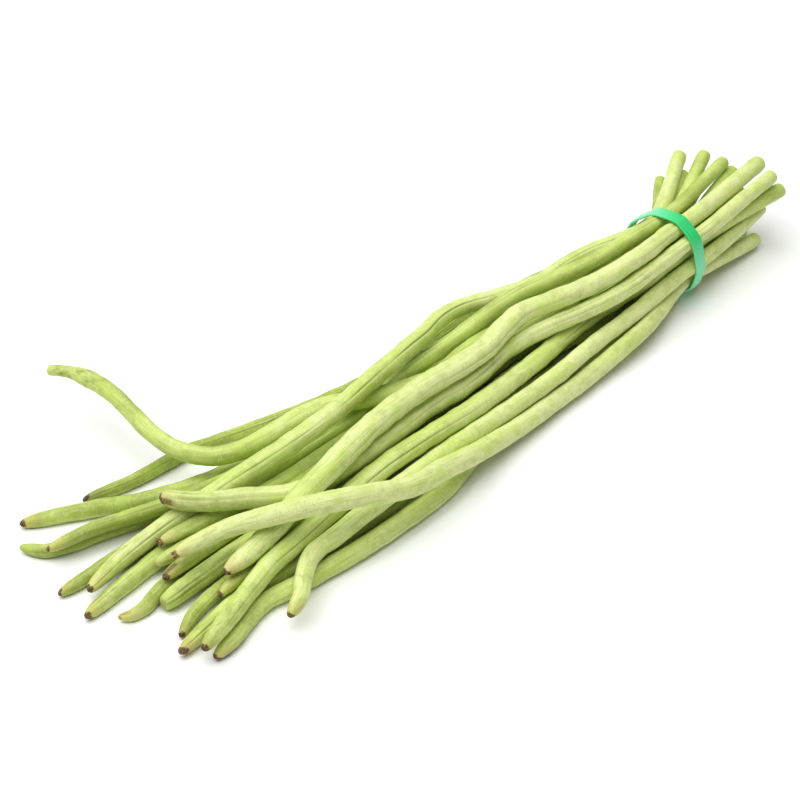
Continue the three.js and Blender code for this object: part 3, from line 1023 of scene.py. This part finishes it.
    def lay_out(self, mesh: bpy.types.Mesh) -> None:
        """Gives a skin the map that its colours are kept through: the bean cut into strips, side by side.

        Args:
            mesh: The skin.
        """
        unrolled = read(mesh.attributes["unrolled"].data, "value", np.float32)
        around = read(mesh.attributes["around"].data, "value", np.float32)
        corners = read(mesh.loops, "vertex_index", np.int32)
        starts = read(mesh.polygons, "loop_start", np.int32)
        counts = read(mesh.polygons, "loop_total", np.int32)
        faces = np.repeat(np.arange(len(starts)), counts)
        span = unrolled.max() / self.bake_strips
        middle = np.add.reduceat(unrolled[corners], starts) / counts
        strip = np.clip(np.floor(middle / span), 0, self.bake_strips - 1)[faces]
        turn = around[corners]
        wraps = (np.maximum.reduceat(turn, starts) > 0.75) & (np.minimum.reduceat(turn, starts) < 0.25)
        turn = np.where(wraps[faces] & (counts == 4)[faces] & (turn < 0.25), turn + 1, turn)
        rise = unrolled[corners] / span - strip
        across = (strip + self.bake_margin * 2 + turn * (1 - 4 * self.bake_margin)) / self.bake_strips
        places = np.column_stack([across, self.bake_margin + rise * (1 - 2 * self.bake_margin)])
        layer = mesh.uv_layers.new(name="OFBake")
        layer.uv.foreach_set("vector", places.astype(np.float32).ravel())

    def build(self) -> list[bpy.types.Object]:
        """Builds every bean and puts it in its solid's place.

        Returns:
            The skins.
        """
        graph = self.tree()
        made = []
        for number, pod in enumerate(self.pods, start=1):
            node = f"bean_{number:02d}"
            if pod.tip not in self.materials:
                self.materials[pod.tip] = PodFinish(pod.tip).material()
            values = {
                "Finish": self.materials[pod.tip],
                "Sides": self.sides,
                "Seed": float(number),
                "Tone": pod.tone,
                "Oval": pod.oval,
                "Valley Depth": pod.valley,
                "Seed Height": pod.seeds,
                "Seed Pitch": self.seed_pitch,
                "Wander": self.wander,
                "Seam Turn": math.radians(pod.seam),
                "Seam Depth": pod.seam_depth,
                "Lips": pod.lips,
                "Gathering": self.gathering,
            }
            piece = graph.grow(f"{node}_skin", self.line(Spine.of(node), pod), values)
            self.lay_out(piece.data)
            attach(piece, BODY)
            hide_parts(node)
            made.append(piece)
        return made


# ---- Dried bits at the torn tips ----


@dataclass(frozen=True)
class HuskFinish:
    """Dried brown skin."""

    dark: str = "#5e3d28"
    light: str = "#b08c5c"

    CLOUDS_PER_METRE = 900.0
    GRAIN_PER_METRE = 2600.0
    BUMP_DISTANCE = 0.1 * MM

    def material(self) -> bpy.types.Material:
        """Builds the material.

        Returns:
            The material.
        """
        made, graph = new_material("dried_skin")
        place = graph.node("ShaderNodeTexCoord")["Object"]
        clouds = graph.noise(place, self.CLOUDS_PER_METRE, 3.0)
        colour = graph.blend(clouds.ramp(0.35, 0.65), paint(self.dark), paint(self.light))
        normal = graph.bump(graph.noise(place, self.GRAIN_PER_METRE), 0.6, self.BUMP_DISTANCE)
        graph.end_surface({"Base Color": colour, "Roughness": 0.6 + clouds * 0.2, "Normal": normal})
        return made


@dataclass
class Husks:
    """The curled, torn bits round the ends of two tips.

    Each bit's foot is that start back from the end, and as far out from the centre-line. Its length is a
    random share of the full one. It leans outwards by an angle in degrees, and curls by another one.
    Unevenness is how far a foot may stand off its place, as a share of the space between two.
    """

    nodes: tuple[str, ...] = ("bean_01", "bean_07")
    bits: int = 6
    rings: int = 7
    length: float = 2.8 * MM
    width: float = 1.8 * MM
    thickness: float = 0.3 * MM
    start: float = 0.9 * MM
    unevenness: float = 0.25
    lengths: tuple[float, float] = (0.6, 1.1)
    leans: tuple[float, float] = (5, 45)
    curls: tuple[float, float] = (20, 85)
    taper: float = 1.6
    waves: float = 9
    wave_height: float = 0.25
    seed: int = 7

    POINT_WIDTH = 0.03
    POINT_THICKNESS = 0.1

    def bit(self, foot: Vector, onward: Vector, outward: Vector, draw: random.Random) -> Rings:
        """Shapes one bit as rings of four corners, from its foot to its point.

        Args:
            foot: The middle of its foot.
            onward: The way the bean points.
            outward: The way from the bean's centre-line to the foot.
            draw: The source of its random sizes.

        Returns:
            The corners of every ring.
        """
        side = onward.cross(outward)
        length = self.length * draw.uniform(*self.lengths)
        lean = math.radians(draw.uniform(*self.leans))
        curl = math.radians(draw.uniform(*self.curls))
        rings = []
        place = foot.copy()
        for number in range(self.rings):
            share = number / (self.rings - 1)
            turned = lean + curl * share
            along = onward * math.cos(turned) + outward * math.sin(turned)
            face = outward * math.cos(turned) - onward * math.sin(turned)
            narrowed = (1 + self.POINT_WIDTH - share**self.taper) * (
                1 + self.wave_height * math.sin(self.waves * share)
            )
            half = side * (self.width / 2 * narrowed)
            depth = face * (self.thickness / 2 * (1 + self.POINT_THICKNESS - share))
            low, high = place - depth, place + depth
            rings.append([low - half, low + half, high + half, high - half])
            place = place + along * (length / (self.rings - 1))
        return rings

    def tuft(self, spine: Spine, draw: random.Random) -> bmesh.types.BMesh:
        """Joins the bits round the end of one bean.

        Args:
            spine: The bean's centre-line.
            draw: The source of the bits' random sizes.

        Returns:
            The bits, each closed and with its faces outwards.
        """
        end = Vector(spine.centres[-1])
        onward = (end - Vector(spine.centres[-2])).normalized()
        across = onward.cross(Vector((0, 0, 1))).normalized()
        over = across.cross(onward)
        form = bmesh.new()
        for number in range(self.bits):
            turn = TAU * (number + draw.uniform(-self.unevenness, self.unevenness)) / self.bits
            outward = across * math.cos(turn) + over * math.sin(turn)
            foot = end - onward * self.start + outward * self.start
            bit = self.bit(foot, onward, outward, draw)
            loops = [[form.verts.new(corner) for corner in ring] for ring in bit]
            for one, other in zip(loops, loops[1:]):
                for k in range(4):
                    form.faces.new((one[k], one[k - 3], other[k - 3], other[k]))
            form.faces.new(reversed(loops[0]))
            form.faces.new(loops[-1])
        bmesh.ops.recalc_face_normals(form, faces=form.faces)
        return form

    def build(self) -> list[bpy.types.Object]:
        """Builds the bits of each torn tip.

        Returns:
            One piece for each tip.
        """
        draw = random.Random(self.seed)
        finish = HuskFinish().material()
        made = []
        for node in self.nodes:
            form = self.tuft(Spine.of(node), draw)
            mesh = bpy.data.meshes.new(f"{node}_husk")
            form.to_mesh(mesh)
            form.free()
            mesh.shade_smooth()
            mesh.materials.append(finish)
            piece = add_object(f"{node}_husk", mesh)
            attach(piece, BODY)
            made.append(piece)
        return made


# ---- The rubber band ----


@dataclass
class Band:
    """The rubber band, one flat strip pulled round the necks.

    The crown is the angle, in degrees round the bundle, near the side that faces the camera, where the rubber
    is deepest in colour. It pales from there, past a level span, to the palest where the band turns away from
    the camera: a painted sheen.
    """

    node: str = "rubber_band"
    points: int = 180
    thickness: float = 1.1 * MM
    fillet: float = 0.42 * MM
    fillet_steps: int = 4
    ripple: float = 0.5 * MM
    crown: float = 122.0
    crown_reach: float = 46.0
    crown_plateau: float = 0.35
    palest_sheen: float = 0.8

    COUNTS = ("Fillet Steps",)
    MEASURES = ("Width", "Thickness", "Fillet", "Ripple")
    RIPPLES_PER_METRE = 70.0

    def tree(self) -> GeometryGraph:
        """Builds the tree that sweeps a flat strip along a closed line.

        Returns:
            The tree.
        """
        graph = GeometryGraph("rubber_strip", self.COUNTS, self.MEASURES)
        line = graph.node("GeometryNodeMeshToCurve", sockets={"Mesh": graph.entry["Geometry"]})
        place = graph.scaled(graph.node("GeometryNodeInputPosition"), self.RIPPLES_PER_METRE)
        sway = (graph.noise(place, 1.0, 1.0) - 0.5) * graph.entry["Ripple"]
        sockets = {"Geometry": line, "Offset": graph.point(sway, 0.0, 0.0)}
        line = graph.node("GeometryNodeSetPosition", sockets=sockets)
        sockets = {"Curve": line, "Normal": (1.0, 0.0, 0.0)}
        line = graph.node("GeometryNodeSetCurveNormal", {"mode": "FREE"}, sockets)
        sockets = {"Width": graph.entry["Width"], "Height": graph.entry["Thickness"]}
        strip = graph.node("GeometryNodeCurvePrimitiveQuadrilateral", sockets=sockets)
        sockets = {"Curve": strip, "Radius": graph.entry["Fillet"], "Count": graph.entry["Fillet Steps"]}
        strip = graph.node("GeometryNodeFilletCurve", {"mode": "POLY"}, sockets)
        graph.finish(graph.node("GeometryNodeCurveToMesh", sockets={"Curve": line, "Profile Curve": strip}))
        return graph

    @staticmethod
    def loops(solid: Solid) -> list[np.ndarray]:
        """Finds the band's inner and outer outlines, on its face towards the beans' tips.

        Args:
            solid: The band's solid.

        Returns:
            The corners of each outline, in order round it.
        """
        near_face = solid.corners[:, 0] < solid.corners[:, 0].mean()
        links: dict[int, list[int]] = {}
        for triangle in solid.triangles:
            inside = [int(corner) for corner in triangle if near_face[corner]]
            if len(inside) == 2:
                links.setdefault(inside[0], []).append(inside[1])
                links.setdefault(inside[1], []).append(inside[0])
        outlines = []
        while links:
            outline = [next(iter(links))]
            while links.get(outline[-1]):
                others = links.pop(outline[-1])
                onward = [corner for corner in others if corner in links]
                if onward:
                    outline.append(onward[0])
            outlines.append(solid.corners[outline])
        return outlines

    @staticmethod
    def sorted_by_turn(arm: np.ndarray, reach: np.ndarray) -> tuple[np.ndarray, np.ndarray]:
        """Sorts an outline's reaches by their angle round the band.

        Args:
            arm: The way from the middle to each corner.
            reach: How far each corner is from the middle.

        Returns:
            The angles, and the reach at each.
        """
        turn = np.arctan2(arm[:, 2], arm[:, 1]) % TAU
        order = np.argsort(turn)
        return turn[order], reach[order]

    def line(self) -> bpy.types.Mesh:
        """Draws the middle of the band's thickness.

        Returns:
            A mesh of one closed line, with the attribute stretch, which holds the painted sheen.
        """
        solid = Solid.of(self.node)
        centre = (solid.corners.max(axis=0) + solid.corners.min(axis=0)) / 2
        turns = np.linspace(0, TAU, self.points, endpoint=False)
        reaches = []
        for outline in self.loops(solid):
            arm = outline - centre
            reach = np.hypot(arm[:, 1], arm[:, 2])
            reaches.append(np.interp(turns, *self.sorted_by_turn(arm, reach), period=TAU))
        reach = np.mean(reaches, axis=0)
        places = np.column_stack([
            np.full(self.points, centre[0]),
            centre[1] + reach * np.cos(turns),
            centre[2] + reach * np.sin(turns),
        ])
        mesh = bpy.data.meshes.new("band_line")
        mesh.from_pydata(places.tolist(), [(i, (i + 1) % self.points) for i in range(self.points)], [])
        # Painted sheen: the band pales with its angle from the crown, towards the sides that turn away from
        # the camera.
        from_crown = np.abs(np.degrees(turns) - self.crown) / self.crown_reach
        stretch = np.clip(from_crown - self.crown_plateau, 0, self.palest_sheen)
        mesh.attributes.new("stretch", "FLOAT", "POINT").data.foreach_set("value", stretch)
        return mesh

    def build(self) -> bpy.types.Object:
        """Builds the band and puts it in its solid's place.

        Returns:
            The strip.
        """
        low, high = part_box(self.node)
        values = {
            "Finish": RubberFinish().material(),
            "Width": high.x - low.x,
            "Thickness": self.thickness,
            "Fillet": self.fillet,
            "Fillet Steps": self.fillet_steps,
            "Ripple": self.ripple,
        }
        piece = self.tree().grow("rubber_band_strip", self.line(), values)
        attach(piece, BODY)
        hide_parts(self.node)
        return piece


# ---- The studio ----


@dataclass
class Studio:
    """A pale floor under a soft light, and the camera."""

    target: tuple[float, float, float] = (-28.92 * MM, -38.57 * MM, 16.4 * MM)
    azimuth: float = -50.0
    elevation: float = 38.0
    distance: float = 1.2
    lens: float = 124.1
    sensor: float = 36.0
    floor_size: float = 8.0
    floor_colour: str = "#fbfbfb"
    sky: float = 0.235
    key_place: tuple[float, float, float] = (-0.2, 0.25, 1.4)
    key_size: float = 2.0
    key_power: float = 36.0

    def build(self) -> None:
        """Builds the floor, the lights and the camera."""
        self.floor()
        self.lights()
        self.camera()

    def floor(self) -> None:
        """Lays the floor that the bunch lies on."""
        half = self.floor_size / 2
        mesh = bpy.data.meshes.new("floor")
        corners = [(-half, -half, 0), (half, -half, 0), (half, half, 0), (-half, half, 0)]
        mesh.from_pydata(corners, [], [(0, 1, 2, 3)])
        made, graph = new_material("floor")
        sockets = {"Base Color": paint(self.floor_colour), "Roughness": 0.7, "Specular IOR Level": 0.2}
        graph.end_surface(sockets)
        mesh.materials.append(made)
        add_object("floor", mesh)

    def lights(self) -> None:
        """Hangs one large soft light over the bunch, in an evenly bright room."""
        world = bpy.data.worlds.new("studio")
        world.use_nodes = True
        graph = Graph(world.node_tree)
        glow = graph.node("ShaderNodeBackground", sockets={"Color": (1, 1, 1, 1), "Strength": self.sky})
        graph.node("ShaderNodeOutputWorld", sockets={"Surface": glow})
        bpy.context.scene.world = world
        data = bpy.data.lights.new("key", "AREA")
        data.size = self.key_size
        data.energy = self.key_power
        key = add_object("key", data)
        key.location = self.key_place
        key.rotation_euler = (Vector(self.target) - key.location).to_track_quat("-Z", "Y").to_euler()
        bpy.context.scene.view_settings.view_transform = "Standard"

    def camera(self) -> None:
        """Aims the camera."""
        turn, rise = math.radians(self.azimuth), math.radians(self.elevation)
        onward = Vector((-math.sin(turn) * math.cos(rise), math.cos(turn) * math.cos(rise), -math.sin(rise)))
        data = bpy.data.cameras.new("camera")
        data.lens = self.lens
        data.sensor_width = self.sensor
        camera = add_object("camera", data)
        camera.location = Vector(self.target) - onward * self.distance
        camera.rotation_euler = onward.to_track_quat("-Z", "Y").to_euler()
        bpy.context.scene.camera = camera


PODS = (
    Pod(Tip.TORN, tone=0.2, seam=325),
    Pod(Tip.ROUND, tone=0.22, seam=172),
    Pod(Tip.STAINED, tone=0.15, seam=240, lips=0.3, valley=0.08, seam_depth=0.08),
    Pod(Tip.STAINED, tone=0.22, seam=200, valley=0.1, knuckle=0.04),
    Pod(Tip.CUT, tone=0.6, seam=325, knuckle=0.14, pinch=0.0),
    Pod(Tip.SPOT, tone=0.36, seam=232, valley=0.08, seam_depth=0.1),
    Pod(Tip.TORN, tone=0.6, seam=318),
    Pod(Tip.POINTED, tone=0.95, seam=238, lips=0.25, seam_depth=0.07),
    Pod(Tip.ROUND, tone=0.8, seam=325, valley=0.08),
    Pod(Tip.GREEN, tone=0.9, seam=325),
    Pod(Tip.RIM, tone=0.85, seam=245, valley=0.08),
    Pod(Tip.DARK, tone=0.9, seam=225),
    Pod(Tip.STAINED, tone=0.5, seam=190),
    Pod(Tip.DARK, tone=0.48, seam=222, seam_depth=0.08),
    Pod(Tip.ROUND, tone=0.6, seam=262, lips=0.24, seam_depth=0.07),
    Pod(Tip.GREEN, tone=0.75, seam=224, lips=0.2, valley=0.12, seam_depth=0.13, pinch=0.0),
    Pod(Tip.SPOT, tone=0.88, seam=240, valley=0.09),
    Pod(Tip.PALE, tone=0.8, seam=325),
    Pod(Tip.BLOB, tone=0.6, seam=231, valley=0.09, seam_depth=0.09),
    Pod(Tip.CUT, tone=0.75, seam=325, pinch=0.0),
    Pod(Tip.STAINED, tone=0.85, seam=325),
    Pod(Tip.SPOT, tone=0.85, seam=235),
)


def main() -> None:
    """Builds the bunch and its studio, and logs how many faces each piece has."""
    logging.basicConfig(level=logging.INFO, format="%(name)s: %(message)s")
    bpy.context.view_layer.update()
    Studio().build()
    for piece in [*Beans(PODS).build(), *Husks().build(), Band().build()]:
        LOG.info("%s: %d faces", piece.name, len(piece.data.polygons))


if __name__ == "__main__":
    main()
